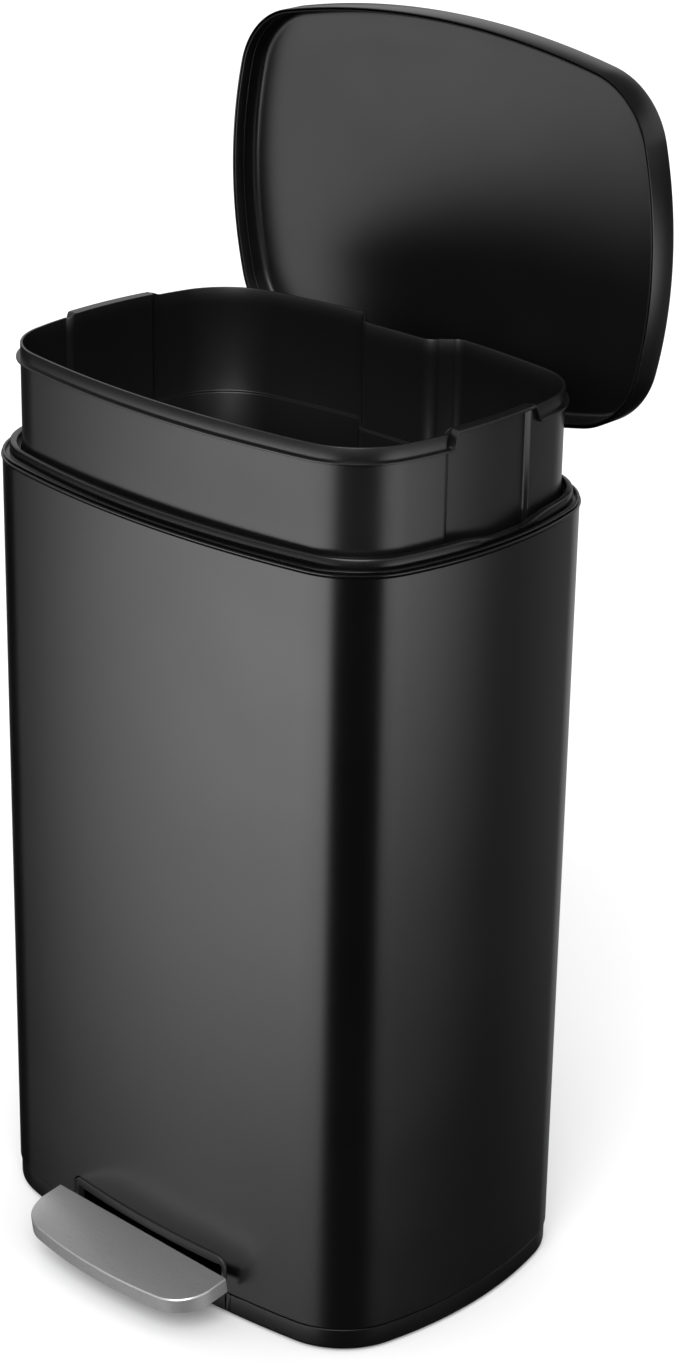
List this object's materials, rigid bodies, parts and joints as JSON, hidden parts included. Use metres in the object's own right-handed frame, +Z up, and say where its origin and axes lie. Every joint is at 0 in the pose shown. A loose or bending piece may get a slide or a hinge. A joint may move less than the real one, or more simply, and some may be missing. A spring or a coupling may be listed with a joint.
{
  "type": "pedal trash can",
  "caption": "Rectangular pedal trash can with bowed steel sides, a hinged soft-close lid, a lift-out bucket and a foot pedal that opens the lid by a rod.",
  "frame": {"origin": "middle of the whole footprint, on the floor", "axes": "+Z up, -Y towards the pedal, +X to the right of someone who stands at the pedal and faces the can"},
  "size_m": [0.4, 0.3659, 0.8867],
  "materials": {
    "satin_black_steel": "satin black powder coat",
    "black_plastic": "fine-grained moulded black",
    "bucket_plastic": "satin moulded black",
    "brushed_stainless": "brushed along its length",
    "zinc_steel": "zinc plated",
    "grey_nylon": "natural grey nylon",
    "black_rubber": "matte"
  },
  "bodies": {
    "can": {"outer_shell": "satin_black_steel", "top_collar": "black_plastic", "base_skirt": "black_plastic", "base_pan": "black_plastic", "foot_front_left": "black_rubber", "foot_front_right": "black_rubber", "foot_rear_left": "black_rubber", "foot_rear_right": "black_rubber", "slot_bezel": "black_plastic", "pivot_bracket_left": "satin_black_steel", "pivot_bracket_right": "satin_black_steel", "pivot_screw_left_front": "zinc_steel", "pivot_screw_left_rear": "zinc_steel", "pivot_screw_right_front": "zinc_steel", "pivot_screw_right_rear": "zinc_steel", "pedal_pivot_pin": "zinc_steel", "rod_channel": "black_plastic", "rod_guide_lower": "grey_nylon", "rod_guide_upper": "grey_nylon", "damper_cylinder": "grey_nylon", "hinge_housing": "black_plastic", "hinge_pin": "zinc_steel", "housing_screw_left_lower": "zinc_steel", "housing_screw_left_upper": "zinc_steel", "housing_screw_right_lower": "zinc_steel", "housing_screw_right_upper": "zinc_steel"},
    "pedal": {"pedal_cap": "brushed_stainless", "pedal_core": "black_plastic", "pedal_lever": "satin_black_steel", "pedal_screw_left": "zinc_steel", "pedal_screw_right": "zinc_steel", "lever_end_pin": "zinc_steel"},
    "rod": {"push_rod": "zinc_steel", "rod_yoke": "grey_nylon", "rod_foot": "grey_nylon", "damper_plunger": "zinc_steel", "damper_arm": "black_plastic"},
    "lid": {"lid_outer": "satin_black_steel", "lid_liner": "black_plastic", "lid_hinge_bracket": "zinc_steel", "crank_pin": "zinc_steel", "bracket_screw_left_front": "zinc_steel", "bracket_screw_left_rear": "zinc_steel", "bracket_screw_right_front": "zinc_steel", "bracket_screw_right_rear": "zinc_steel"},
    "bucket": {"inner_bucket": "bucket_plastic"}
  },
  "joints": [
    {"name": "lid_hinge", "type": "hinge", "parent": "can", "child": "lid", "pos_m": [0, 0.16005, 0.597], "axis": [-1, 0, 0], "range_deg": [-89.2, 0]},
    {"name": "pedal_press", "type": "hinge", "parent": "can", "child": "pedal", "pos_m": [0, -0.06995, 0.03], "axis": [1, 0, 0], "range_deg": [-8.68, 0]},
    {"name": "rod_slide", "type": "slide", "parent": "can", "child": "rod", "axis": [0, 0, 1], "range_m": [-0.0321, 0]},
    {"name": "bucket_lift", "type": "slide", "parent": "can", "child": "bucket", "axis": [0, 0, 1], "range_m": [-0.0658, 0]}
  ],
  "couplings": [
    {"joint": "pedal_press", "follows": "lid_hinge", "ratio": 0.097228},
    {"joint": "rod_slide", "follows": "lid_hinge", "m_per_rad": 0.020554},
    {"joint": "bucket_lift", "follows": "lid_hinge", "m_per_rad": 0.042201}
  ]
}
